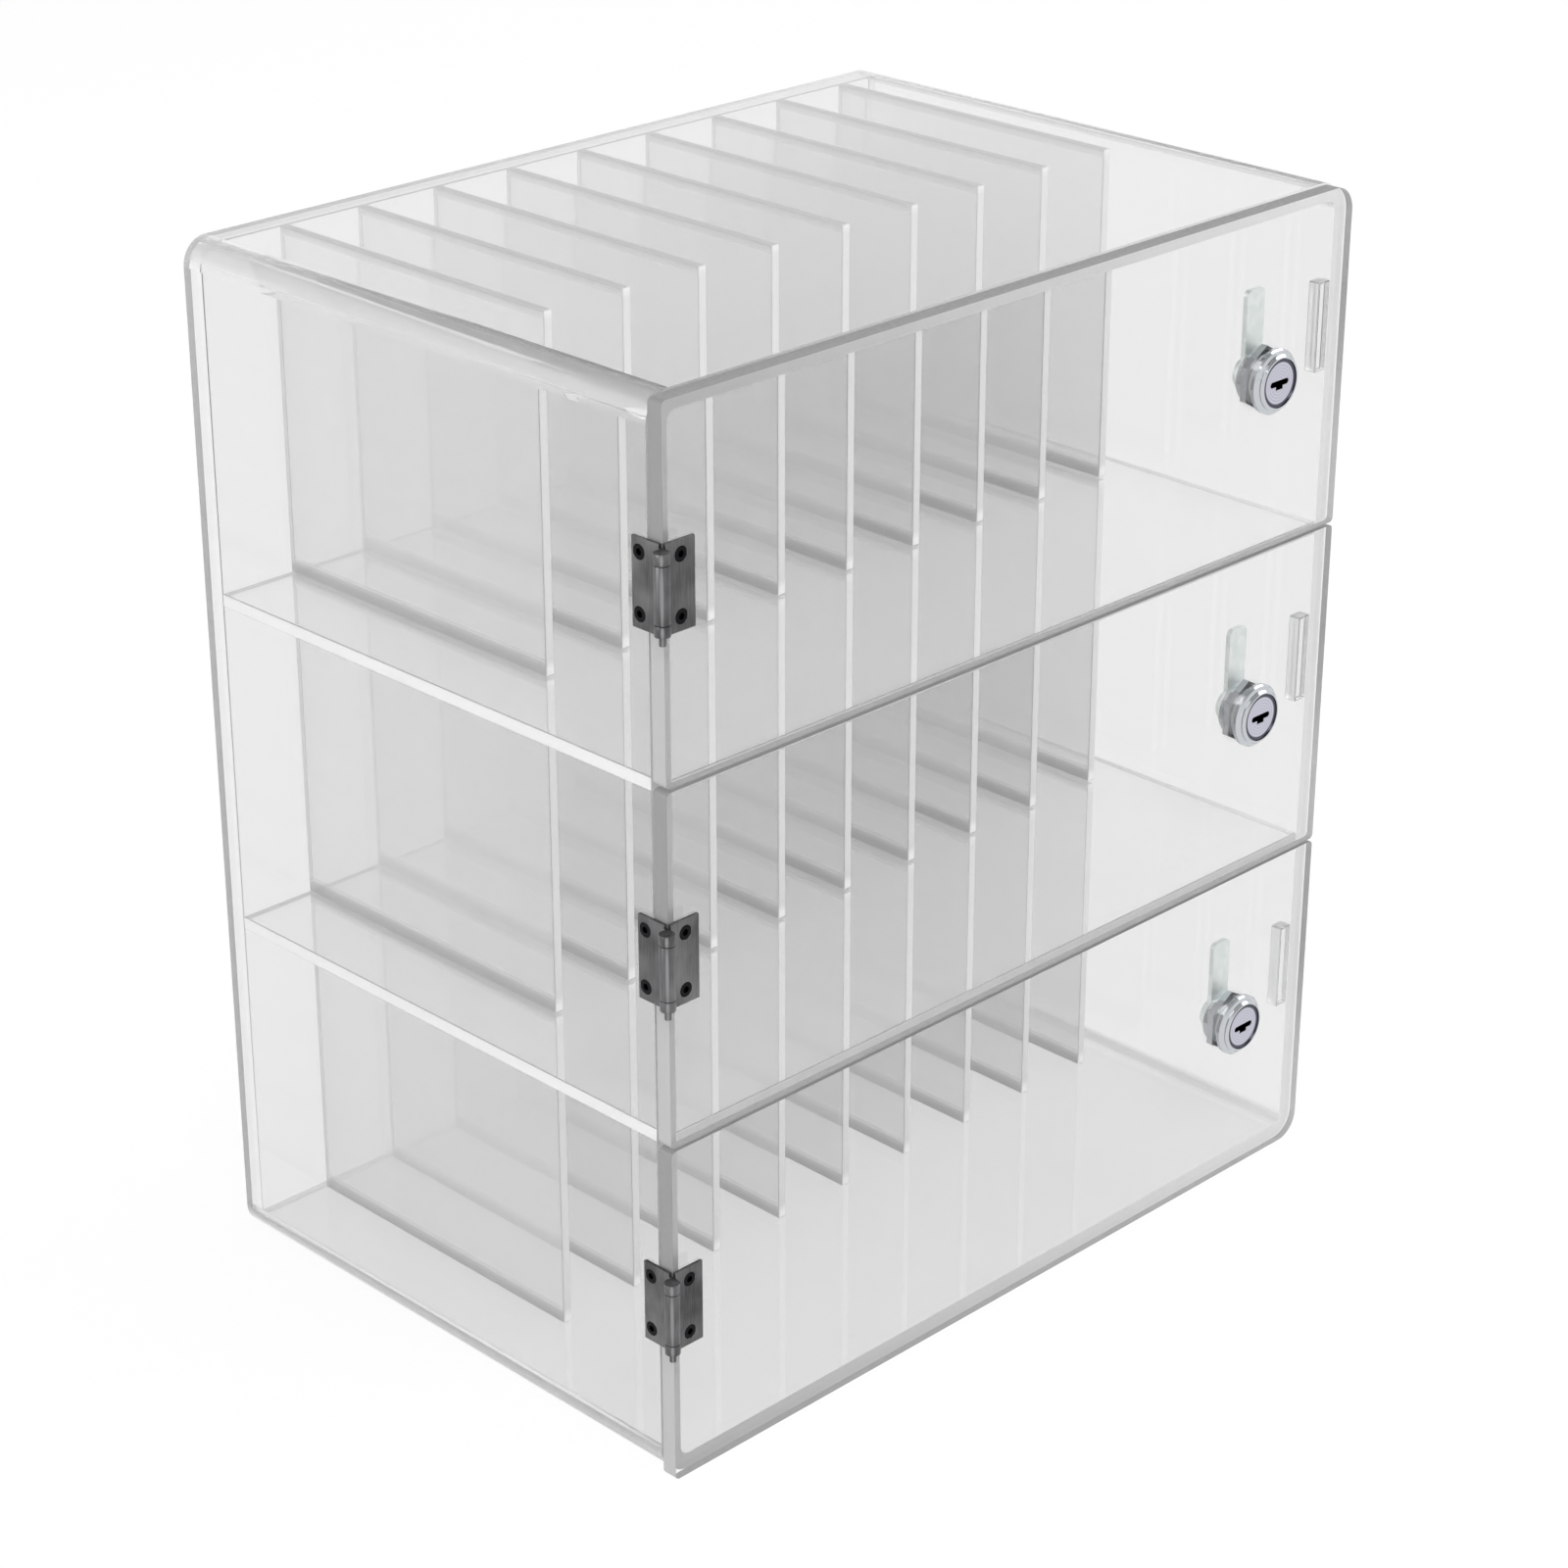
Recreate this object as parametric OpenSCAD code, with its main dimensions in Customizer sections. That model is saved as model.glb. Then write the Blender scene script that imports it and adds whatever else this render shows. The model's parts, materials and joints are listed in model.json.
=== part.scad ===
// Clear locker box for mobile phones: one bent outer shell on three tiers,
// each with its own row of upright dividers and its own hinged, lockable door.
// Millimetres. The origin is the centre of the shell's underside, +Z is up,
// the doors face -Y and their hinges are on the left, at -X.

/* [Shell] */
// Width over the outside of the shell
shell_w = 280; // [200:1:420]
// Depth of the shell, without the doors
shell_d = 190; // [160:1:300]
// Clear height inside each tier
clear_h = 101; // [90:1:180]
// Thickness of the bent sheet that makes top, base and both sides
wall = 5; // [4:0.5:8]
// Inside radius of the shell's four long bends
bend_r = 3; // [1:0.5:10]
// Thickness of the back panel
back_t = 5; // [3:0.5:8]
// Thickness of each of the two shelves
shelf_t = 4; // [3:0.5:8]
// Cement line between two bonded sheets
bond = 0.05; // [0.02:0.01:0.15]

/* [Dividers] */
// Upright dividers in each tier
dividers = 9; // [3:1:9]
// Clear width of the last slot, on the right, which is narrower than the others
end_slot_w = 14.4; // [6:0.2:40]
// Thickness of a divider
divider_t = 3; // [2:0.5:4]
// Depth of a divider, from the back panel forwards
divider_d = 113; // [60:1:125]

/* [Doors] */
// Thickness of a door
door_t = 5; // [4:0.5:8]
// Gap between the back of a door and the front edge of the shell
door_gap = 0.4; // [0.3:0.1:1.5]
// Gap between two doors, one above the other
door_split = 1; // [0.6:0.1:3]
// Gap between the hinge-side edge of a door and the line of the shell's side
door_inset = 0.3; // [0.2:0.1:1]
// Radius of the door corners that don't meet a bend of the shell
door_small_r = 1.5; // [0.5:0.5:3]

/* [Hinges] */
// Height of a hinge leaf
leaf_h = 25; // [24:1:60]
// Width of the leaf on the door, from the corner of the box
leaf_w = 10.5; // [8.5:0.5:16]
// How far the leaf on the side laps over the shell, behind the door
leaf_lap = 4.9; // [4.8:0.1:10]
// Thickness of a hinge leaf
leaf_t = 1; // [0.8:0.1:1.5]
// Height of the hinge above the middle of its door
hinge_rise = 3; // [-20:1:20]
// Radius of the hinge pin
pin_r = 1; // [0.8:0.1:1.5]
// Wall of the rolled knuckle round the pin
knuckle_wall = 1.15; // [1.1:0.05:2]
// Radial running clearance of the pin in the moving knuckle
pin_clear = 0.05; // [0.02:0.01:0.1]
// Length of the knuckle that turns with the door
mid_knuckle = 16; // [8:1:18]
// How far each end knuckle stops short of the leaf's end
knuckle_inset = 1.2; // [0:0.1:2]
// Gap between neighbouring knuckles
knuckle_gap = 0.2; // [0.1:0.05:0.4]
// How far the pin stands out below the leaf
pin_drop = 1.5; // [0.5:0.5:4]
// Distance of the door's hinge screws from the corner of the box
door_screw_in = 5.6; // [5:0.1:6.2]
// Distance of the shell's hinge screws from its front edge
shell_screw_in = 2.2; // [1.8:0.1:2.5]
// Distance of each hinge screw from the hinge's middle
screw_up = 8.5; // [6:0.5:9.5]
// Radius of a hinge screw's thread
screw_r = 1.25; // [1:0.05:1.5]
// Radius of the countersink for a hinge screw's head
screw_head_r = 2.2; // [2:0.1:2.6]
// Length of a hinge screw
screw_len = 4.4; // [3:0.1:4.6]

/* [Locks] */
// Distance of the lock from the free edge of the door
lock_in = 34; // [24:0.5:40]
// Radius of the lock's head
head_r = 10; // [10:0.5:14]
// How far the lock's head stands out of the door
head_h = 3.2; // [3:0.1:6]
// Radius of the lock's threaded barrel
barrel_r = 7.9; // [7.5:0.1:8.5]
// Half the width over the two flats of the barrel
barrel_flat = 6.9; // [6.8:0.1:7.2]
// Clearance round the barrel in the door
barrel_clear = 0.15; // [0.05:0.05:0.3]
// Radius of the turning plug
plug_r = 5.5; // [5.3:0.1:5.8]
// Radial running clearance of the plug in the housing
plug_clear = 0.05; // [0.02:0.01:0.1]
// Radius of the plug's face, which holds the keyway
face_r = 7.4; // [7:0.1:7.7]
// Width over the flats of the mounting nut
nut_w = 18; // [18:0.5:21]
// Thickness of the mounting nut
nut_t = 2.2; // [2:0.1:4]
// Width of the cam's blade
cam_w = 8; // [7:0.5:11]
// Thickness of the cam
cam_t = 1.6; // [1:0.1:2.5]
// Distance that the cam's tip keeps from the shell's side
cam_tip_gap = 2.5; // [1.5:0.5:4]
// Running gap between the cam and the strike that it locks behind
cam_gap = 0.6; // [0.3:0.1:1.5]
// Turn of the plug from open to locked, in degrees
lock_turn = 90; // [60:5:120]

/* [Strikes] */
// Width of the strike block, from the side of the shell inwards
strike_w = 5; // [5:0.5:7]
// Depth of the strike block
strike_d = 4; // [4:0.5:8]
// Height of the strike block above the lock's axis
strike_up = 24; // [8:1:30]
// Height of the strike block below the lock's axis
strike_down = 4; // [3:0.5:8]

/* [Hidden] */
$fn = 64;

TIERS = ["bottom", "middle", "top"];

// How far a cut runs on past the face that it opens
over = 1;
// Radial gap round a screw, and round a nut's thread, in place of the thread
thread_clear = 0.1;
// Gap between two faces that are clamped together
seat_gap = 0.05;

// Levels of the tiers
shell_h = 2 * wall + 3 * clear_h + 2 * shelf_t;
door_pitch = shell_h / 3;
function tier_floor(tier) = wall + tier * (clear_h + shelf_t);
function door_mid(tier) = (tier + 0.5) * door_pitch;
function hinge_mid(tier) = door_mid(tier) + hinge_rise;

// The dividers share out the width that the last slot leaves
divider_pitch = (shell_w - 2 * wall - end_slot_w) / dividers;

// Planes across the depth, from the front of the doors to the back
shell_front = -shell_d / 2;
shell_back = shell_d / 2;
back_front = shell_back - back_t;
door_back = shell_front - door_gap;
door_front = door_back - door_t;
side_left = -shell_w / 2;
side_right = shell_w / 2;

// The hinge's axis stands outside the corner by the knuckle's radius
knuckle_r = pin_r + pin_clear + knuckle_wall;
hinge_x = side_left - knuckle_r;
hinge_y = door_front - knuckle_r;
knuckle_tail = knuckle_r + leaf_w / 2;
// Gap between the corner of the box and the nearest edge of a leaf
leaf_gap = 0.3;
// Radial gap of the pin in the fixed end knuckles, which grip it
pin_grip = 0.02;
end_knuckle_z = mid_knuckle / 2 + knuckle_gap;
end_knuckle = leaf_h / 2 - knuckle_inset - end_knuckle_z;
screw_tip_gap = 0.2;
screw_socket_r = 1.05;
screw_socket_d = 0.9;

// Stations of the lock along Y, from the front of its head inwards
lock_x = side_right - lock_in;
head_front = door_front - head_h;
face_recess = 0.4;
face_front = head_front + face_recess;
face_t = 1.2;
face_back = face_front + face_t;
strike_back = shell_front + strike_d;
cam_front = strike_back + cam_gap;
cam_back = cam_front + cam_t;
shaft_end = cam_front - seat_gap;
barrel_end = shaft_end - seat_gap;
// The screw clamps the cam because the square stops short of the cam's back
square_end = cam_back - 0.1;
cam_screw_front = cam_back + seat_gap;

// The lock's head is a rim that stands on a wider lip, both with cut edges
head_rim_r = head_r - 1.4;
head_lip_h = 1.6;
rim_edge = 0.6;
lip_edge = 0.5;
// Gap round and behind the plug's face
face_clear = 0.15;
square_w = 7;
square_clear = 0.05;
keyway_w = 8.4;
keyway_h = 1.8;
keyway_nib_w = 3.2;
keyway_nib_h = 1.1;
keyway_d = 7;
// A lug on the plug runs in a recess of the barrel and stops at both its ends
stop_r = 6.4;
stop_t = 1.4;
stop_arc = 60;
stop_clear = 0.1;
stop_slack = 1;
cam_len = lock_in - wall - cam_tip_gap;
cam_hub_r = 6.4;
cam_tip_r = 2;
cam_screw_r = 2;
cam_screw_len = 5.5;
cam_screw_head_r = 4.4;
cam_screw_head_h = 2.4;
cam_screw_socket_w = 3;
cam_screw_socket_d = 1.3;

// Extrudes a shape drawn in X and Z from one plane across Y to another
module along_y(from, to) {
    translate([0, to, 0])
        rotate([90, 0, 0])
            linear_extrude(height = to - from)
                children();
}

// Turns a radius and height profile about the Y axis, height running along +Y
module turned_y() {
    rotate([-90, 0, 0])
        rotate_extrude()
            children();
}

// A rectangle from its lower left corner, with one radius for each corner,
// in the order lower left, lower right, upper right, upper left
module rounded_rect(w, h, r) {
    corners = [[0, 0, 1, 1], [w, 0, -1, 1], [w, h, -1, -1], [0, h, 1, -1]];
    difference() {
        square([w, h]);
        for (i = [0 : 3])
            translate([corners[i][0], corners[i][1]])
                corner_waste(r[i], corners[i][2], corners[i][3]);
    }
}

// What a rounded corner takes away from a square one
module corner_waste(r, sx, sy) {
    difference() {
        translate([sx > 0 ? -over : -r, sy > 0 ? -over : -r])
            square(r + over);
        translate([sx * r, sy * r])
            circle(r);
    }
}

// A sector of a disc in X and Z, from one angle to another, clockwise from +Z
module sector(r, from, to) {
    reach = 2 * r;
    middle = (from + to) / 2;
    intersection() {
        circle(r);
        polygon([[0, 0],
                 reach * [sin(from), cos(from)],
                 reach * [sin(middle), cos(middle)],
                 reach * [sin(to), cos(to)]]);
    }
}

module shell_outline(inset, r) {
    translate([side_left + inset, inset])
        rounded_rect(shell_w - 2 * inset, shell_h - 2 * inset, [r, r, r, r]);
}

module shell() {
    color("gainsboro", 0.35)
        difference() {
            along_y(shell_front, shell_back)
                difference() {
                    shell_outline(0, bend_r + wall);
                    shell_outline(wall, bend_r);
                }
            for (tier = [0 : 2])
                at_shell_screws(tier)
                    screw_hole();
        }
}

module back_panel() {
    color("gainsboro", 0.35)
        along_y(back_front, shell_back)
            shell_outline(wall + bond, bend_r);
}

// Both shelves reach from the front edge of the shell to the back panel
module shelves() {
    color("gainsboro", 0.35)
        for (tier = [1, 2])
            translate([side_left + wall + bond, shell_front, tier_floor(tier) - shelf_t])
                cube([shell_w - 2 * (wall + bond), shell_d - back_t - bond, shelf_t]);
}

// The dividers are counted from the left, and each closes its slot on the right
module divider(tier, i) {
    x = side_left + wall + i * divider_pitch - divider_t;
    color("whitesmoke", 0.45)
        translate([x, back_front - bond - divider_d, tier_floor(tier) + bond])
            cube([divider_t, divider_d, clear_h - 2 * bond]);
}

// A door's corners at the bends of the shell are as round as the bends
module door(tier) {
    low = tier * door_pitch + door_split / 2;
    low_r = tier == 0 ? bend_r + wall : door_small_r;
    high_r = tier == 2 ? bend_r + wall : door_small_r;
    color("gainsboro", 0.35)
        difference() {
            along_y(door_front, door_back)
                difference() {
                    translate([side_left + door_inset, low])
                        rounded_rect(shell_w - door_inset, door_pitch - door_split,
                                     [door_small_r, low_r, high_r, door_small_r]);
                    translate([lock_x, door_mid(tier)])
                        barrel_section(barrel_clear);
                }
            at_door_screws(tier)
                screw_hole();
        }
}

// Places a screw in both holes of the leaf on the shell's side, pointing in +X
module at_shell_screws(tier) {
    for (up = [-1, 1])
        translate([side_left - leaf_t, shell_front + shell_screw_in, hinge_mid(tier) + up * screw_up])
            rotate([0, -90, 0])
                children();
}

// Places a screw in both holes of the leaf on the door, pointing in +Y
module at_door_screws(tier) {
    for (up = [-1, 1])
        translate([side_left + door_screw_in, door_front - leaf_t, hinge_mid(tier) + up * screw_up])
            rotate([90, 0, 0])
                children();
}

// A shank and a 45 degree head that point down, with the head's face at z = 0
module countersunk(r, head_r, length) {
    translate([0, 0, -length])
        cylinder(r = r, h = length);
    translate([0, 0, r - head_r])
        cylinder(r1 = r, r2 = head_r, h = head_r - r);
}

// The hole goes through the leaf and on into the sheet behind it
module screw_hole() {
    countersunk(screw_r + thread_clear, screw_head_r, screw_len + screw_tip_gap);
}

module hinge_screw() {
    difference() {
        countersunk(screw_r, screw_head_r - thread_clear, screw_len);
        translate([0, 0, -screw_socket_d])
            cylinder(r = screw_socket_r, h = screw_socket_d + over, $fn = 6);
    }
}

// One leaf lies on the shell's side and carries the two end knuckles
module hinge_wall_leaf(tier) {
    leaf_front = door_front + leaf_gap;
    color("dimgray")
        difference() {
            union() {
                translate([side_left - leaf_t, leaf_front, hinge_mid(tier) - leaf_h / 2])
                    cube([leaf_t, shell_front + leaf_lap - leaf_front, leaf_h]);
                for (up = [0, 1])
                    translate([0, 0, hinge_mid(tier)])
                        mirror([0, 0, up])
                            end_knuckle();
            }
            translate([hinge_x, hinge_y, hinge_mid(tier) - leaf_h])
                cylinder(r = pin_r + pin_grip, h = 2 * leaf_h);
            at_shell_screws(tier)
                screw_hole();
        }
}

module end_knuckle() {
    translate([hinge_x, hinge_y, end_knuckle_z])
        cylinder(r = knuckle_r, h = end_knuckle);
    translate([side_left - leaf_t, hinge_y, end_knuckle_z])
        cube([leaf_t, knuckle_tail, end_knuckle]);
}

// The other leaf lies on the door's front and carries the middle knuckle
module hinge_door_leaf(tier) {
    color("dimgray")
        difference() {
            union() {
                translate([side_left + leaf_gap, door_front - leaf_t, hinge_mid(tier) - leaf_h / 2])
                    cube([leaf_w - leaf_gap, leaf_t, leaf_h]);
                translate([hinge_x, hinge_y, hinge_mid(tier) - mid_knuckle / 2])
                    cylinder(r = knuckle_r, h = mid_knuckle);
                translate([hinge_x, door_front - leaf_t, hinge_mid(tier) - mid_knuckle / 2])
                    cube([knuckle_tail, leaf_t, mid_knuckle]);
            }
            translate([hinge_x, hinge_y, hinge_mid(tier) - leaf_h])
                cylinder(r = pin_r + pin_clear, h = 2 * leaf_h);
            at_door_screws(tier)
                screw_hole();
        }
}

module hinge_pins() {
    color("darkgray")
        for (tier = [0 : 2])
            translate([hinge_x, hinge_y, hinge_mid(tier) - leaf_h / 2 - pin_drop])
                cylinder(r = pin_r, h = leaf_h + pin_drop - knuckle_inset);
}

module hinge_wall_screws() {
    color("black")
        for (tier = [0 : 2])
            at_shell_screws(tier)
                hinge_screw();
}

module hinge_door_screws(tier) {
    color("black")
        at_door_screws(tier)
            hinge_screw();
}

// Places a lock piece on the lock's axis, with its stations along Y unchanged
module at_lock(tier) {
    translate([lock_x, 0, door_mid(tier)])
        children();
}

// Round section with two flats that stops the lock turning in the door
module barrel_section(clear) {
    intersection() {
        circle(barrel_r + clear);
        square([4 * barrel_r, 2 * (barrel_flat + clear)], center = true);
    }
}

module lock_head() {
    turned_y()
        polygon([[0, head_front],
                 [head_rim_r - rim_edge, head_front],
                 [head_rim_r, head_front + rim_edge],
                 [head_rim_r, door_front - head_lip_h - lip_edge],
                 [head_r - lip_edge, door_front - head_lip_h],
                 [head_r, door_front - head_lip_h + lip_edge],
                 [head_r, door_front],
                 [0, door_front]]);
}

// Head in front of the door, and a flatted barrel that goes through it
module lock_housing(tier) {
    lug_from = -stop_arc / 2 - stop_slack;
    lug_to = stop_arc / 2 + lock_turn + stop_slack;
    color("silver")
        at_lock(tier)
            difference() {
                union() {
                    lock_head();
                    along_y(door_front - head_lip_h, barrel_end)
                        barrel_section(0);
                }
                along_y(head_front - over, barrel_end + over)
                    circle(plug_r + plug_clear);
                along_y(head_front - over, face_back + face_clear)
                    circle(face_r + face_clear);
                along_y(barrel_end - stop_t - stop_clear, barrel_end + over)
                    sector(stop_r + stop_clear, lug_from, lug_to);
            }
}

// Hexagon nut that clamps the housing to the door
module lock_nut(tier) {
    color("silver")
        at_lock(tier)
            along_y(door_back + seat_gap, door_back + seat_gap + nut_t)
                difference() {
                    rotate(30)
                        circle(r = nut_w / sqrt(3), $fn = 6);
                    circle(barrel_r + thread_clear);
                }
}

// Face with the keyway, round shaft, stop lug, and a square that drives the cam
module lock_plug(tier) {
    color("gainsboro")
        at_lock(tier)
            difference() {
                union() {
                    along_y(face_front, face_back)
                        circle(face_r);
                    along_y(face_front + face_t / 2, shaft_end)
                        circle(plug_r);
                    along_y(barrel_end - stop_t, barrel_end)
                        sector(stop_r, -stop_arc / 2, stop_arc / 2);
                    along_y(barrel_end - stop_t, square_end)
                        square(square_w, center = true);
                }
                along_y(face_front - over, face_front + keyway_d)
                    keyway_section();
                along_y(cam_back - cam_screw_len - screw_tip_gap, cam_back + over)
                    circle(cam_screw_r + thread_clear);
            }
}

// A flat slot with round ends and a narrow nib below its middle
module keyway_section() {
    straight_w = keyway_w - keyway_h;
    square([straight_w, keyway_h], center = true);
    for (side = [-1, 1])
        translate([side * straight_w / 2, 0])
            circle(keyway_h / 2);
    translate([-keyway_nib_w / 2, -keyway_h / 2 - keyway_nib_h])
        square([keyway_nib_w, keyway_nib_h + keyway_h / 2]);
}

// Points straight up when open, and turns behind the strike when locked
module lock_cam(tier) {
    color("lightsteelblue")
        at_lock(tier)
            along_y(cam_front, cam_back)
                difference() {
                    union() {
                        circle(cam_hub_r);
                        translate([-cam_w / 2, 0])
                            rounded_rect(cam_w, cam_len, [cam_tip_r, cam_tip_r, cam_tip_r, cam_tip_r]);
                    }
                    square(square_w + 2 * square_clear, center = true);
                }
}

module cam_screw(tier) {
    head_end = cam_screw_front + cam_screw_head_h;
    socket_floor = head_end - cam_screw_socket_d;
    color("gray")
        at_lock(tier)
            difference() {
                union() {
                    along_y(cam_screw_front, head_end)
                        circle(cam_screw_head_r);
                    along_y(cam_back - cam_screw_len, socket_floor)
                        circle(cam_screw_r);
                }
                along_y(socket_floor, head_end + over)
                    circle(r = cam_screw_socket_w / sqrt(3), $fn = 6);
            }
}

// Clear blocks inside the shell's right side, flush with its front edge
module strikes() {
    color("whitesmoke", 0.45)
        for (tier = [0 : 2])
            translate([side_right - wall - bond - strike_w, shell_front, door_mid(tier) - strike_down])
                cube([strike_w, strike_d, strike_up + strike_down]);
}

shell();
back_panel();
shelves();
hinge_pins();
hinge_wall_screws();
strikes();
for (t = [0 : 2]) {
    for (i = [1 : dividers])
        divider(t, i);
    door(t);
    hinge_wall_leaf(t);
    hinge_door_leaf(t);
    hinge_door_screws(t);
    lock_housing(t);
    lock_nut(t);
    lock_plug(t);
    lock_cam(t);
    cam_screw(t);
}
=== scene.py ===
# Clear acrylic locker box on three tiers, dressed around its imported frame
import json
import math

import bmesh
import bpy
from mathutils import Matrix, Vector

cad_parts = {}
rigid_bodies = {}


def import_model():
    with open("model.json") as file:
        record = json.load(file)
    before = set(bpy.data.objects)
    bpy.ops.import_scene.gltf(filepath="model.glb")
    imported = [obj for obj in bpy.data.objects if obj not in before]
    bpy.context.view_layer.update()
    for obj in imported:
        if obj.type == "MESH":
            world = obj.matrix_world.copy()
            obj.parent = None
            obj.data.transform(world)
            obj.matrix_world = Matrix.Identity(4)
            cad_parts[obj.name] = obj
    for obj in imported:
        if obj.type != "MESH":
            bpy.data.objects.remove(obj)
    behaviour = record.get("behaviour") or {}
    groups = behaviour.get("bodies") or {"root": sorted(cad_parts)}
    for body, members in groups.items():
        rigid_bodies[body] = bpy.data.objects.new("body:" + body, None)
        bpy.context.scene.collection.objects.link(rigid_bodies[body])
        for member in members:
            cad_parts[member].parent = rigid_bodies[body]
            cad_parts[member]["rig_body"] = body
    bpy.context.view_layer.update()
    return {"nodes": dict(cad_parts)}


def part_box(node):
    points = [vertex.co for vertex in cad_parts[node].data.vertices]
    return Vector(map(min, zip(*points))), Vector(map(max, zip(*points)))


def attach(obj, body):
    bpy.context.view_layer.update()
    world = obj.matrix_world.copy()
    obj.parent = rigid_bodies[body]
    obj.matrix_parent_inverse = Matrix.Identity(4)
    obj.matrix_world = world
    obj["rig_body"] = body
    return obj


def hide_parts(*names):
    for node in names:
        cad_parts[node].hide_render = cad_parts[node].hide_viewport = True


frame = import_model()
nodes = frame["nodes"]
scene = bpy.context.scene
tiers = ["bottom", "middle", "top"]
mm = 0.001
noiseSpan = (0.3, 0.7)  # values that a Noise texture mostly stays between


def linear(hexColour):
    # sRGB hex to the linear colour that shaders work in
    values = [int(hexColour[i:i + 2], 16) / 255 for i in (1, 3, 5)]
    return [v / 12.92 if v <= 0.04045 else ((v + 0.055) / 1.055) ** 2.4 for v in values] + [1.0]


def addNode(tree, kind, settings=None, links=None):
    # settings are sockets by name or number, or the node's own properties; links feed sockets
    # Map Range: 0 value, 1 and 2 from, 3 and 4 to. Mix: 0 factor, 2 and 3 numbers, 6 and 7 colours
    node = tree.nodes.new(kind)
    for name, value in (settings or {}).items():
        if isinstance(name, str) and hasattr(node, name):
            setattr(node, name, value)
        else:
            node.inputs[name].default_value = value
    for name, source in (links or {}).items():
        tree.links.new(source, node.inputs[name])
    return node


def newMaterial(name):
    material = bpy.data.materials.new(name)
    material.use_nodes = True
    material.node_tree.nodes.clear()
    return material, material.node_tree


def dress(piece, material):
    piece.data.materials.clear()
    piece.data.materials.append(material)


meshCare = {
    "merge": 1e-6,  # metres between points that are one
    "flat": math.radians(0.5),  # faces that turn less than this lie in one plane
    "sharp": math.radians(60),  # edges that turn more than this are eased
    "smooth": math.radians(35),  # edges that turn less than this are shaded smooth
    "squareOn": 0.99,  # least share of its normal along one axis, for a face that isn't slanted
    "plain": 0.9999,  # and for one that is shaded flat
    "facet": 1.3 * mm,  # longest side of the facets round a screw or lock hole
    "reach": 1 * mm,  # how far past a screw or lock its hole's rim may lie
}
holes = [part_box(node) for node in nodes if "screws" in node or node.startswith("lock_housing")]


def atHole(point):
    reach = meshCare["reach"]
    return any(all(low[i] - reach < point[i] < high[i] + reach for i in range(3)) for low, high in holes)


def needsEasing(line):
    # a sharp edge, unless it belongs to the rim of a screw or lock hole
    if line.calc_face_angle(0) < meshCare["sharp"]:
        return False
    slanted = any(max(abs(c) for c in face.normal) < meshCare["squareOn"] for face in line.link_faces)
    middle = (line.verts[0].co + line.verts[1].co) / 2
    return not (slanted and line.calc_length() < meshCare["facet"] and atHole(middle))


def easedCopy(node, piece, easing):
    # a copy of the CAD mesh with its outer edges eased; the rims of its screw and lock holes stay sharp
    mesh = nodes[node].data.copy()
    bm = bmesh.new()
    bm.from_mesh(mesh)
    bmesh.ops.remove_doubles(bm, verts=bm.verts, dist=meshCare["merge"])
    bmesh.ops.dissolve_limit(bm, angle_limit=meshCare["flat"], verts=bm.verts, edges=bm.edges)
    rim = [line for line in bm.edges if needsEasing(line)]
    bmesh.ops.bevel(bm, geom=rim, offset=easing["edge"], offset_type="OFFSET", segments=easing["segments"],
                    profile=0.5, affect="EDGES", material=-1, clamp_overlap=True)
    bm.to_mesh(mesh)
    bm.free()
    mesh.name = piece
    if "custom_normal" in mesh.attributes:
        mesh.attributes.remove(mesh.attributes["custom_normal"])
    mesh.set_sharp_from_angle(angle=meshCare["smooth"])
    for face in mesh.polygons:
        face.use_smooth = max(abs(c) for c in face.normal) < meshCare["plain"]
    copy = bpy.data.objects.new(piece, mesh)
    scene.collection.objects.link(copy)
    return copy


def standIn(node, suffix, material, easing):
    piece = easedCopy(node, f"{node}_{suffix}", easing)
    dress(piece, material)
    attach(piece, nodes[node]["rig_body"])
    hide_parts(node)
    return piece


# Light passes many clear sheets before it reaches the floor
lightPaths = {
    "through": 64,
    "shadow": 128,
    "diffuse": 2,
}
scene.cycles.max_bounces = lightPaths["through"]
scene.cycles.transmission_bounces = lightPaths["through"]
scene.cycles.glossy_bounces = lightPaths["through"]
scene.cycles.diffuse_bounces = lightPaths["diffuse"]
scene.cycles.transparent_max_bounces = lightPaths["shadow"]
scene.view_settings.view_transform = "Standard"

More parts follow.
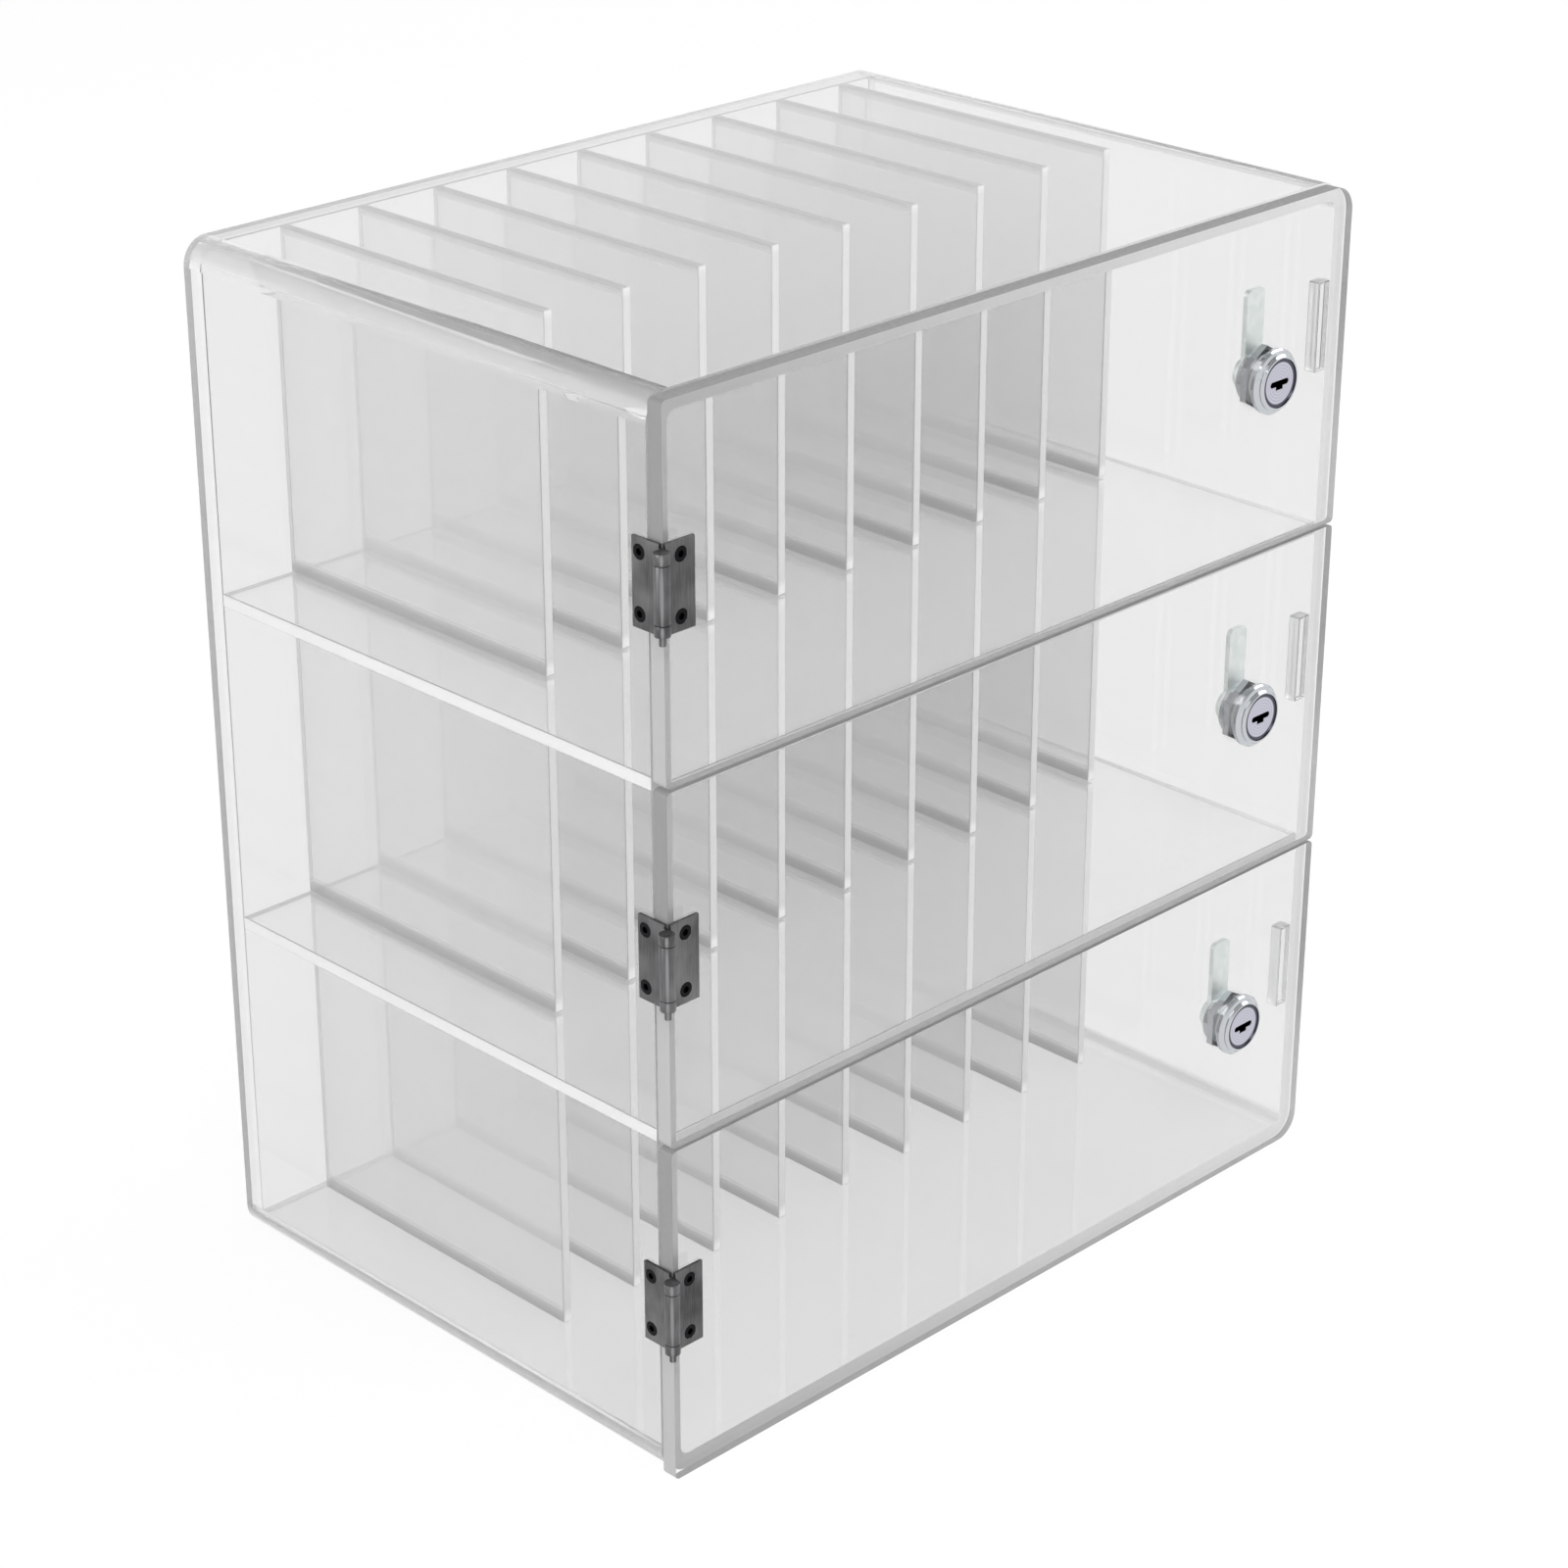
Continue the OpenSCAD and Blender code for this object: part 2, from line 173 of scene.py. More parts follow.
# Clear sheets
acrylic = {
    "ior": 1.49,
    "absorption": 2.0,  # per metre, so 5 mm of sheet keeps 99% and a tier's height keeps 81%
    "haze": 0.012,  # most roughness that handling leaves on a face
    "hazeSize": 35 * mm,
    "hazeFrom": 0.45,  # values of the noise where the haze begins and is at its most
    "hazeFull": 0.8,
    "sawn": (0.3, 0.55),  # roughness between the saw marks and in them
    "sawPitch": 1.4 * mm,  # a real blade leaves finer marks; these are coarse enough to show
    "passing": "#FAFAFA",  # tint of lamp light and bounced light that goes through a face
    "seam": 0.2 * mm,  # how far under a divider or door its height is counted from
    "faceTurns": (0.4, 0.85),  # shares of a normal along one axis that part faces from sawn edges
}
sheets = {
    # the axis across the sheet, its tint, how clear its faces and its sawn edges are, the two edge tones
    # and what turns one tone into the other: an axis that the edge faces, or the way along the box, which
    # on the shell is painted shade, darker towards the hinges; corner is the painted shade of a chamfer on
    # upright and on level edges, lower is the tone of an upright edge and of its chamfer below the hinge,
    # bend and base are painted shade on the shell's bends and base, and foot is the tone of the grey bands
    # at a divider's foot and top
    "shell": {"across": None, "tint": "#F5F5F5", "clear": 0.98, "edgeClear": 0.3,
              "edges": ("#A8A8A8", "#F0F0F0"), "turn": "along", "bend": "#D6D6D6", "base": "#ECECEC"},
    "back": {"across": "Y", "tint": "#F5F5F5", "clear": 0.98, "edgeClear": 0.15,
             "edges": ("#F0F0F0", "#F0F0F0"), "turn": "Z"},
    "shelf": {"across": "Z", "tint": "#FCFCFC", "clear": 0.82, "edgeClear": 0.3,
              "edges": ("#C8C8C8", "#F6F6F6"), "turn": "X"},
    "door": {"across": "Y", "tint": "#F8F8F8", "clear": 0.985, "edgeClear": 0.2,
             "edges": ("#8A8A8A", "#8C8C8C"), "turn": "Z", "corner": ("#565656", "#464646"),
             "lower": ("#B0B0B0", "#7A7A7A")},
    "divider": {"across": "X", "tint": "#E1E1E1", "clear": 0.74, "edgeClear": 0.1,
                "edges": ("#E2E2E2", "#9A9A9A"), "turn": "Z", "foot": "#A4A4A4"},
    "strike": {"across": "Y", "tint": "#FDFEFE", "clear": 0.98, "edgeClear": 0.95,
               "edges": ("#FCFEFD", "#FCFEFD"), "turn": "Z"},
}
sheetEasing = {
    "edge": 0.4 * mm,
    "segments": 3,
}
doorEasing = {
    "edge": 0.9 * mm,
    "segments": 3,
}
jointBand = {
    "foot": 3.6 * mm,  # how far the grey band reaches up a divider from the joint at its foot
    "top": 1.4 * mm,  # and down it from the joint at its top
    "soft": 1.2 * mm,
    "clear": 0.5,
    "frontWhite": "#FFFFFF",
}
# painted shade: the shell's bends are greyer and less clear
bend = {
    "starts": 0.08,  # product of the two directions that a bent face looks in
    "full": 0.3,
    "clear": 0.66,
}
# painted shade: the shell's base is greyer and less clear
baseShading = {
    "under": 5.4 * mm,  # just over the base sheet's thickness
    "clear": 0.82,
}
doorEdgeSwitch = {
    "from": 40 * mm,  # height up a door, just under its hinge, where the upper tone begins to take over
    "to": 72 * mm,
}
# painted shade: a door's chamfers are drawn as thin dark lines
chamfer = {
    "rises": (0.12, 0.3),  # shares of a face's normal across the sheet that make it a chamfer
    "falls": (0.97, 0.9),
    "clear": 0.1,
}
shellLeft, shellRight = [corner.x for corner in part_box("shell")]
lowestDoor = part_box("door_bottom")[0].z
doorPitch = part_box("door_middle")[0].z - lowestDoor
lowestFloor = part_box("divider_bottom_1")[0].z
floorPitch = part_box("divider_middle_1")[0].z - lowestFloor
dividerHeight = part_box("divider_bottom_1")[1].z - lowestFloor


def faceRoughness(tree, place, edge):
    # a faint wiped haze on the faces, and fine saw marks on the edges
    marks = addNode(tree, "ShaderNodeTexNoise", {
        "Scale": 1 / acrylic["sawPitch"], "Detail": 2.0, "Roughness": 0.6},
        {"Vector": place.outputs["Object"]})
    wiped = addNode(tree, "ShaderNodeTexNoise", {
        "Scale": 1 / acrylic["hazeSize"], "Detail": 5.0, "Roughness": 0.55, "Distortion": 0.6},
        {"Vector": place.outputs["Object"]})
    haze = addNode(tree, "ShaderNodeMapRange", {
        1: acrylic["hazeFrom"], 2: acrylic["hazeFull"], 3: 0.0, 4: acrylic["haze"]}, {0: wiped.outputs[0]})
    sawn = addNode(tree, "ShaderNodeMapRange", {
        1: noiseSpan[0], 2: noiseSpan[1], 3: acrylic["sawn"][0], 4: acrylic["sawn"][1]},
        {0: marks.outputs[0]})
    rough = addNode(tree, "ShaderNodeMix", {"data_type": "FLOAT"}, {
        0: edge.outputs[0], 2: haze.outputs[0], 3: sawn.outputs[0]})
    return rough.outputs[0]


def heightInTier(tree, spot, lowest, pitch):
    # height above the foot of this tier's own door or divider
    above = addNode(tree, "ShaderNodeMath", {"operation": "SUBTRACT", 1: lowest - acrylic["seam"]}, {
        0: spot.outputs["Z"]})
    rise = addNode(tree, "ShaderNodeMath", {"operation": "MODULO", 1: pitch}, {0: above.outputs[0]})
    return rise.outputs[0]


def laidOver(tree, under, mask, tone, clear):
    # where the mask says, another tone and another clearness over those of under
    settings = {"data_type": "RGBA"}
    links = {0: mask, 6: under[0]}
    if isinstance(tone, str):
        settings[7] = linear(tone)
    else:
        links[7] = tone
    colour = addNode(tree, "ShaderNodeMix", settings, links)
    share = addNode(tree, "ShaderNodeMix", {"data_type": "FLOAT", 3: clear}, {0: mask, 2: under[1]})
    return colour.outputs[2], share.outputs[0]


def doorUpright(tree, spot, underHinge, overHinge):
    # the tone of a door's upright edge, or of its chamfer, goes from one below a height just under its
    # hinge to another above it
    rise = heightInTier(tree, spot, lowestDoor, doorPitch)
    share = addNode(tree, "ShaderNodeMapRange", {1: doorEdgeSwitch["from"], 2: doorEdgeSwitch["to"]}, {0: rise})
    tone = addNode(tree, "ShaderNodeMix", {
        "data_type": "RGBA", 6: linear(underHinge), 7: linear(overHinge)}, {0: share.outputs[0]})
    return tone.outputs[2]


def edgeTone(tree, look, axes, spot):
    # the tone of a sawn edge
    if look["turn"] == "along":
        # painted shade: the shell's edges are darker towards the hinges and paler towards the locks
        towards = addNode(tree, "ShaderNodeMapRange", {1: shellLeft, 2: shellRight}, {
            0: spot.outputs["X"]})
        share = towards.outputs[0]
    else:
        share = axes.outputs[look["turn"]]
    tone = addNode(tree, "ShaderNodeMix", {
        "data_type": "RGBA", 6: linear(look["edges"][0]), 7: linear(look["edges"][1])}, {0: share})
    if "lower" in look:
        upright = doorUpright(tree, spot, look["lower"][0], look["edges"][0])
        tree.links.new(upright, tone.inputs[6])
    return tone.outputs[2]


def chamferShade(tree, look, axes, spot, under):
    # painted shade: a door's chamfers are drawn as thin dark lines, standing in for the dark refraction at
    # its edges
    rising = addNode(tree, "ShaderNodeMapRange", {1: chamfer["rises"][0], 2: chamfer["rises"][1]}, {
        0: axes.outputs[look["across"]]})
    falling = addNode(tree, "ShaderNodeMapRange", {1: chamfer["falls"][0], 2: chamfer["falls"][1]}, {
        0: axes.outputs[look["across"]]})
    corner = addNode(tree, "ShaderNodeMath", {"operation": "MULTIPLY"}, {
        0: rising.outputs[0], 1: falling.outputs[0]})
    upright = doorUpright(tree, spot, look["lower"][1], look["corner"][0])
    line = addNode(tree, "ShaderNodeMix", {"data_type": "RGBA", 7: linear(look["corner"][1])}, {
        0: axes.outputs[look["turn"]], 6: upright})
    return laidOver(tree, under, corner.outputs[0], line.outputs[2], chamfer["clear"])


def bendShade(tree, look, axes, under):
    # painted shade: the shell's bends are greyer and less clear, standing in for the dark refraction in a
    # bent sheet
    both = addNode(tree, "ShaderNodeMath", {"operation": "MULTIPLY"}, {
        0: axes.outputs["X"], 1: axes.outputs["Z"]})
    bent = addNode(tree, "ShaderNodeMapRange", {1: bend["starts"], 2: bend["full"]}, {0: both.outputs[0]})
    return laidOver(tree, under, bent.outputs[0], look["bend"], bend["clear"])


def shadedBase(tree, look, axes, spot, under):
    # painted shade: the base is greyer and less clear than the rest, standing in for the shade and the
    # reflections of the dividers in it
    low = addNode(tree, "ShaderNodeMath", {"operation": "LESS_THAN", 1: baseShading["under"]}, {
        0: spot.outputs["Z"]})
    shadedArea = addNode(tree, "ShaderNodeMath", {"operation": "MULTIPLY"}, {
        0: low.outputs[0], 1: axes.outputs["Z"]})
    return laidOver(tree, under, shadedArea.outputs[0], look["base"], baseShading["clear"])


def greyBands(tree, look, axes, spot, under):
    # a grey, less clear band along each divider at the joints at its foot and its top
    rise = heightInTier(tree, spot, lowestFloor, floorPitch)
    foot = addNode(tree, "ShaderNodeMapRange", {
        1: jointBand["foot"] + jointBand["soft"], 2: jointBand["foot"] - jointBand["soft"]}, {0: rise})
    top = addNode(tree, "ShaderNodeMapRange", {
        1: dividerHeight - jointBand["top"] - jointBand["soft"],
        2: dividerHeight - jointBand["top"] + jointBand["soft"]}, {0: rise})
    ends = addNode(tree, "ShaderNodeMath", {"operation": "MAXIMUM"}, {
        0: foot.outputs[0], 1: top.outputs[0]})
    band = addNode(tree, "ShaderNodeMath", {"operation": "MULTIPLY"}, {
        0: ends.outputs[0], 1: axes.outputs[look["across"]]})
    colour, clear = laidOver(tree, under, band.outputs[0], look["foot"], jointBand["clear"])
    # its front edge is white where the bands reach it
    bandFront = addNode(tree, "ShaderNodeMath", {"operation": "MULTIPLY"}, {
        0: ends.outputs[0], 1: axes.outputs["Y"]})
    whiteEnds = addNode(tree, "ShaderNodeMix", {"data_type": "RGBA", 7: linear(jointBand["frontWhite"])}, {
        0: bandFront.outputs[0], 6: colour})
    return whiteEnds.outputs[2], clear


def castAcrylic(name, look):
    # Cast PMMA sheet, saw cut and scraped: water clear through its faces, with a faint wiped haze,
    # grey along its length, and edges that scatter light in fine saw marks
    material, tree = newMaterial(name)
    place = addNode(tree, "ShaderNodeTexCoord")
    facing = addNode(tree, "ShaderNodeVectorMath", {"operation": "ABSOLUTE"}, {0: place.outputs["Normal"]})
    axes = addNode(tree, "ShaderNodeSeparateXYZ", None, {0: facing.outputs[0]})
    spot = addNode(tree, "ShaderNodeSeparateXYZ", None, {0: place.outputs["Object"]})
    # an edge faces away from the axis across its sheet; the shell's edges are those that face Y
    isEdge = (1.0, 0.0) if look["across"] else (0.0, 1.0)
    edge = addNode(tree, "ShaderNodeMapRange", {
        1: acrylic["faceTurns"][0], 2: acrylic["faceTurns"][1], 3: isEdge[0], 4: isEdge[1]},
        {0: axes.outputs[look["across"] or "Y"]})
    colour = addNode(tree, "ShaderNodeMix", {"data_type": "RGBA", 6: linear(look["tint"])}, {
        0: edge.outputs[0], 7: edgeTone(tree, look, axes, spot)})
    clear = addNode(tree, "ShaderNodeMapRange", {3: look["clear"], 4: look["edgeClear"]}, {
        0: edge.outputs[0]})
    finish = (colour.outputs[2], clear.outputs[0])
    if "corner" in look:
        finish = chamferShade(tree, look, axes, spot, finish)
    if "bend" in look:
        finish = bendShade(tree, look, axes, finish)
    if "base" in look:
        finish = shadedBase(tree, look, axes, spot, finish)
    if "foot" in look:
        finish = greyBands(tree, look, axes, spot, finish)
    sheet = addNode(tree, "ShaderNodeBsdfPrincipled", {"IOR": acrylic["ior"]}, {
        "Base Color": finish[0],
        "Roughness": faceRoughness(tree, place, edge),
        "Transmission Weight": finish[1],
    })
    # lamps and bounced light pass straight on, as they would through a real sheet
    passing = addNode(tree, "ShaderNodeBsdfTransparent", {"Color": linear(acrylic["passing"])})
    rays = addNode(tree, "ShaderNodeLightPath")
    soft = addNode(tree, "ShaderNodeMath", {"operation": "MAXIMUM"}, {
        0: rays.outputs["Is Shadow Ray"], 1: rays.outputs["Is Diffuse Ray"]})
    surface = addNode(tree, "ShaderNodeMixShader", None, {
        0: soft.outputs[0], 1: sheet.outputs[0], 2: passing.outputs[0]})
    body = addNode(tree, "ShaderNodeVolumeAbsorption", {
        "Color": linear("#000000"), "Density": acrylic["absorption"]})
    addNode(tree, "ShaderNodeOutputMaterial", None, {
        "Surface": surface.outputs[0], "Volume": body.outputs[0]})
    return material


print("clear sheets")
acrylics = {kind: castAcrylic(f"cast_acrylic_{kind}", look) for kind, look in sheets.items()}
standIn("shell", "sheet", acrylics["shell"], sheetEasing)
standIn("back_panel", "sheet", acrylics["back"], sheetEasing)
standIn("shelves", "sheets", acrylics["shelf"], sheetEasing)
standIn("strikes", "sheets", acrylics["strike"], sheetEasing)
for tier in tiers:
    standIn(f"door_{tier}", "sheet", acrylics["door"], doorEasing)
for node in nodes:
    if node.startswith("divider_"):
        standIn(node, "sheet", acrylics["divider"], sheetEasing)

# Hinges
hinge = {
    "edge": 0.15 * mm,
    "segments": 2,
    "nickel": ("#464647", "#7C7C7D"),
    "patch": 14 * mm,
    "lineShare": 0.4,  # how much of the brush lines is added to the patches
    "tonesFrom": (0.45, 0.95),  # values of that sum that give the two tones of the nickel
    # painted highlight: a pale line down the knuckles, where they face front left
    "highlightTone": "#909092",
    "outermost": (-0.707, -0.707, 0),  # the way that the outermost line of a knuckle faces, where the highlight is painted
    "highlightLine": (0.965, 0.99),  # how squarely it faces that way, where the painted highlight begins and is full
    "roughness": (0.26, 0.42),
    "brushPitch": 0.5 * mm,  # brushing is finer than this; drawn as coarse as it needs to show
    "brushLength": 9 * mm,
    "brushDepth": 0.02 * mm,
    "screw": ("#0E0E10", "#1E1E20"),
    "screwGrain": 0.8 * mm,
    "screwRoughness": (0.35, 0.55),
}


def brushedNickel():
    # Dark nickel plate over rolled and brushed steel: grey, softly glossy, with upright brush lines,
    # and a painted highlight: pale along the outermost line of the knuckles
    material, tree = newMaterial("brushed_dark_nickel")
    place = addNode(tree, "ShaderNodeTexCoord")
    along = addNode(tree, "ShaderNodeMapping", {
        "Scale": (1 / hinge["brushPitch"], 1 / hinge["brushPitch"], 1 / hinge["brushLength"])},
        {"Vector": place.outputs["Object"]})
    lines = addNode(tree, "ShaderNodeTexNoise", {"Scale": 1.0, "Detail": 3.0}, {
        "Vector": along.outputs[0]})
    patches = addNode(tree, "ShaderNodeTexNoise", {"Scale": 1 / hinge["patch"], "Detail": 2.0}, {
        "Vector": place.outputs["Object"]})
    both = addNode(tree, "ShaderNodeMath", {"operation": "MULTIPLY_ADD", 1: hinge["lineShare"]}, {
        0: lines.outputs[0], 2: patches.outputs[0]})
    spread = addNode(tree, "ShaderNodeMapRange", {1: hinge["tonesFrom"][0], 2: hinge["tonesFrom"][1]}, {
        0: both.outputs[0]})
    colour = addNode(tree, "ShaderNodeMix", {
        "data_type": "RGBA", 6: linear(hinge["nickel"][0]), 7: linear(hinge["nickel"][1])},
        {0: spread.outputs[0]})
    outward = addNode(tree, "ShaderNodeVectorMath", {"operation": "DOT_PRODUCT", 1: hinge["outermost"]}, {
        0: place.outputs["Normal"]})
    highlightLine = addNode(tree, "ShaderNodeMapRange", {1: hinge["highlightLine"][0], 2: hinge["highlightLine"][1]}, {
        0: outward.outputs["Value"]})
    # painted highlight along the outermost line of the knuckles
    highlighted = addNode(tree, "ShaderNodeMix", {"data_type": "RGBA", 7: linear(hinge["highlightTone"])}, {
        0: highlightLine.outputs[0], 6: colour.outputs[2]})
    rough = addNode(tree, "ShaderNodeMapRange", {
        1: noiseSpan[0], 2: noiseSpan[1], 3: hinge["roughness"][0], 4: hinge["roughness"][1]},
        {0: lines.outputs[0]})
    bump = addNode(tree, "ShaderNodeBump", {"Strength": 0.25, "Distance": hinge["brushDepth"]}, {
        "Height": lines.outputs[0]})
    metal = addNode(tree, "ShaderNodeBsdfPrincipled", {"Metallic": 1.0}, {
        "Base Color": highlighted.outputs[2], "Roughness": rough.outputs[0], "Normal": bump.outputs[0]})
    addNode(tree, "ShaderNodeOutputMaterial", None, {"Surface": metal.outputs[0]})
    return material


def blackOxide():
    # Black oxide on steel screws: near black, half matt, a little worn on the heads
    material, tree = newMaterial("black_oxide_steel")
    place = addNode(tree, "ShaderNodeTexCoord")
    grain = addNode(tree, "ShaderNodeTexNoise", {"Scale": 1 / hinge["screwGrain"], "Detail": 3.0}, {
        "Vector": place.outputs["Object"]})
    colour = addNode(tree, "ShaderNodeMix", {
        "data_type": "RGBA", 6: linear(hinge["screw"][0]), 7: linear(hinge["screw"][1])},
        {0: grain.outputs[0]})
    rough = addNode(tree, "ShaderNodeMapRange", {
        1: noiseSpan[0], 2: noiseSpan[1], 3: hinge["screwRoughness"][0], 4: hinge["screwRoughness"][1]},
        {0: grain.outputs[0]})
    metal = addNode(tree, "ShaderNodeBsdfPrincipled", {"Metallic": 1.0}, {
        "Base Color": colour.outputs[2], "Roughness": rough.outputs[0]})
    addNode(tree, "ShaderNodeOutputMaterial", None, {"Surface": metal.outputs[0]})
    return material


print("hinges")
nickel = brushedNickel()
oxide = blackOxide()
for tier in tiers:
    standIn(f"hinge_wall_leaf_{tier}", "plate", nickel, hinge)
    standIn(f"hinge_door_leaf_{tier}", "plate", nickel, hinge)
    dress(nodes[f"hinge_door_screws_{tier}"], oxide)
dress(nodes["hinge_pins"], nickel)
dress(nodes["hinge_wall_screws"], oxide)

# Locks
lock = {
    "chrome": "#C4C7CB",
    "chromeRoughness": (0.05, 0.14),
    "swirl": 3 * mm,
    "swirlSpan": (0.35, 0.7),  # values of the swirls that give those two
    "face": ("#B4B4C2", "#CBCBD6"),
    "faceRoughness": 0.3,
    "turningPitch": 0.9 * mm,  # real turning marks are finer; drawn as coarse as it needs to show
    "turningDepth": 0.02 * mm,
    "ringUnit": 0.314,  # distance between the rings of a Wave texture at scale 1
    # painted shade: a dark ring at the rim of the plug's face, and black in its keyway a little way in
    "grooveShade": "#50505A",
    "grooveWidth": 1.0 * mm,
    "grooveSoft": 0.1 * mm,
    "keyway": "#08080A",
    "keywayDark": (0.1 * mm, 0.4 * mm),  # depth under the face where the painted shade begins to darken it and is black
    "cam": ("#DCE6E2", "#F2F7F5"),
    "camRoughness": 0.38,
    "spangle": 2.5 * mm,
}


def polishedChrome():
    # Chrome plate on a die-cast head: bright, mirror smooth, with faint polishing swirls
    material, tree = newMaterial("polished_chrome")
    place = addNode(tree, "ShaderNodeTexCoord")
    swirl = addNode(tree, "ShaderNodeTexNoise", {
        "Scale": 1 / lock["swirl"], "Detail": 4.0, "Distortion": 1.2}, {"Vector": place.outputs["Object"]})
    rough = addNode(tree, "ShaderNodeMapRange", {
        1: lock["swirlSpan"][0], 2: lock["swirlSpan"][1],
        3: lock["chromeRoughness"][0], 4: lock["chromeRoughness"][1]}, {0: swirl.outputs[0]})
    metal = addNode(tree, "ShaderNodeBsdfPrincipled", {
        "Base Color": linear(lock["chrome"]), "Metallic": 1.0}, {"Roughness": rough.outputs[0]})
    addNode(tree, "ShaderNodeOutputMaterial", None, {"Surface": metal.outputs[0]})
    return material


def turnedFace(tier):
    # Satin nickel plug face, turned on a lathe: rings of fine marks round its own centre, painted shade
    # in a dark ring at its rim, and painted shade that turns the keyway black a little way in
    low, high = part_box(f"lock_plug_{tier}")
    centre = (low + high) / 2
    grooveStart = (high.x - low.x) / 2 - lock["grooveWidth"]
    material, tree = newMaterial(f"turned_nickel_{tier}")
    place = addNode(tree, "ShaderNodeTexCoord")
    centred = addNode(tree, "ShaderNodeMapping", {
        "vector_type": "TEXTURE", "Location": centre}, {"Vector": place.outputs["Object"]})
    rings = addNode(tree, "ShaderNodeTexWave", {
        "wave_type": "RINGS", "rings_direction": "Y", "Scale": lock["ringUnit"] / lock["turningPitch"],
        "Distortion": 0.4}, {"Vector": centred.outputs[0]})
    colour = addNode(tree, "ShaderNodeMix", {
        "data_type": "RGBA", 6: linear(lock["face"][0]), 7: linear(lock["face"][1])},
        {0: rings.outputs["Fac"]})
    flat = addNode(tree, "ShaderNodeVectorMath", {"operation": "MULTIPLY", 1: (1, 0, 1)}, {
        0: centred.outputs[0]})
    radius = addNode(tree, "ShaderNodeVectorMath", {"operation": "LENGTH"}, {0: flat.outputs[0]})
    # painted shade: a dark ring at the rim of the face
    rim = addNode(tree, "ShaderNodeMapRange", {
        1: grooveStart - lock["grooveSoft"], 2: grooveStart + lock["grooveSoft"]},
        {0: radius.outputs["Value"]})
    grooveShaded = addNode(tree, "ShaderNodeMix", {"data_type": "RGBA", 7: linear(lock["grooveShade"])}, {
        0: rim.outputs[0], 6: colour.outputs[2]})
    spot = addNode(tree, "ShaderNodeSeparateXYZ", None, {0: place.outputs["Object"]})
    # painted shade: black in the keyway, a little way in under the face
    deep = addNode(tree, "ShaderNodeMapRange", {
        1: low.y + lock["keywayDark"][0], 2: low.y + lock["keywayDark"][1]}, {0: spot.outputs["Y"]})
    dark = addNode(tree, "ShaderNodeMix", {"data_type": "RGBA", 7: linear(lock["keyway"])}, {
        0: deep.outputs[0], 6: grooveShaded.outputs[2]})
    bump = addNode(tree, "ShaderNodeBump", {"Strength": 0.3, "Distance": lock["turningDepth"]}, {
        "Height": rings.outputs["Fac"]})
    metal = addNode(tree, "ShaderNodeBsdfPrincipled", {
        "Metallic": 1.0, "Roughness": lock["faceRoughness"]}, {
        "Base Color": dark.outputs[2], "Normal": bump.outputs[0]})
    addNode(tree, "ShaderNodeOutputMaterial", None, {"Surface": metal.outputs[0]})
    return material


def zincPlate():
    # Zinc plated steel cam: pale, greenish grey, with a soft mottled spangle
    material, tree = newMaterial("zinc_plate")
    place = addNode(tree, "ShaderNodeTexCoord")
    spangle = addNode(tree, "ShaderNodeTexVoronoi", {"Scale": 1 / lock["spangle"]}, {
        "Vector": place.outputs["Object"]})
    colour = addNode(tree, "ShaderNodeMix", {
        "data_type": "RGBA", 6: linear(lock["cam"][0]), 7: linear(lock["cam"][1])},
        {0: spangle.outputs["Color"]})
    metal = addNode(tree, "ShaderNodeBsdfPrincipled", {
        "Metallic": 1.0, "Roughness": lock["camRoughness"]}, {"Base Color": colour.outputs[2]})
    addNode(tree, "ShaderNodeOutputMaterial", None, {"Surface": metal.outputs[0]})
    return material


print("locks")
chrome = polishedChrome()
zinc = zincPlate()
for tier in tiers:
    dress(nodes[f"lock_housing_{tier}"], chrome)
    dress(nodes[f"lock_nut_{tier}"], chrome)
    dress(nodes[f"lock_plug_{tier}"], turnedFace(tier))
    dress(nodes[f"lock_cam_{tier}"], zinc)
    dress(nodes[f"cam_screw_{tier}"], zinc)

# Table, world and lamps
studio = {
    "tableSize": 30.0,
    "tableDrop": 0.3 * mm,
    "table": "#FFFFFF",
    "tableOwnWhite": 0.8,  # share of the seen white that doesn't come from the lamps
    "horizon": "#FFFFFF",
    "zenith": "#48484A",
    "zenithFrom": 0.35,  # height on the unit sphere where the sky starts to grey
    "ambient": "#CECECE",  # what the world lights with, where it isn't seen
}


def seenRays(tree):
    # 1 where the camera looks, straight on or by a mirror or through glass, and 0 for other light
    rays = addNode(tree, "ShaderNodeLightPath")
    mirrored = addNode(tree, "ShaderNodeMath", {"operation": "MAXIMUM"}, {
        0: rays.outputs["Is Glossy Ray"], 1: rays.outputs["Is Transmission Ray"]})
    seen = addNode(tree, "ShaderNodeMath", {"operation": "MAXIMUM"}, {
        0: rays.outputs["Is Camera Ray"], 1: mirrored.outputs[0]})
    return seen.outputs[0]


def whiteTable():
    # White laminate: plain where it is seen, and it keeps a soft shadow
    material, tree = newMaterial("white_laminate")
    lit = addNode(tree, "ShaderNodeBsdfDiffuse", {"Color": linear(studio["table"])})
    own = addNode(tree, "ShaderNodeEmission", {"Color": linear(studio["table"]), "Strength": 1.0})
    white = addNode(tree, "ShaderNodeMixShader", {0: studio["tableOwnWhite"]}, {
        1: lit.outputs[0], 2: own.outputs[0]})
    pick = addNode(tree, "ShaderNodeMixShader", None, {
        0: seenRays(tree), 1: lit.outputs[0], 2: white.outputs[0]})
    addNode(tree, "ShaderNodeOutputMaterial", None, {"Surface": pick.outputs[0]})
    return material


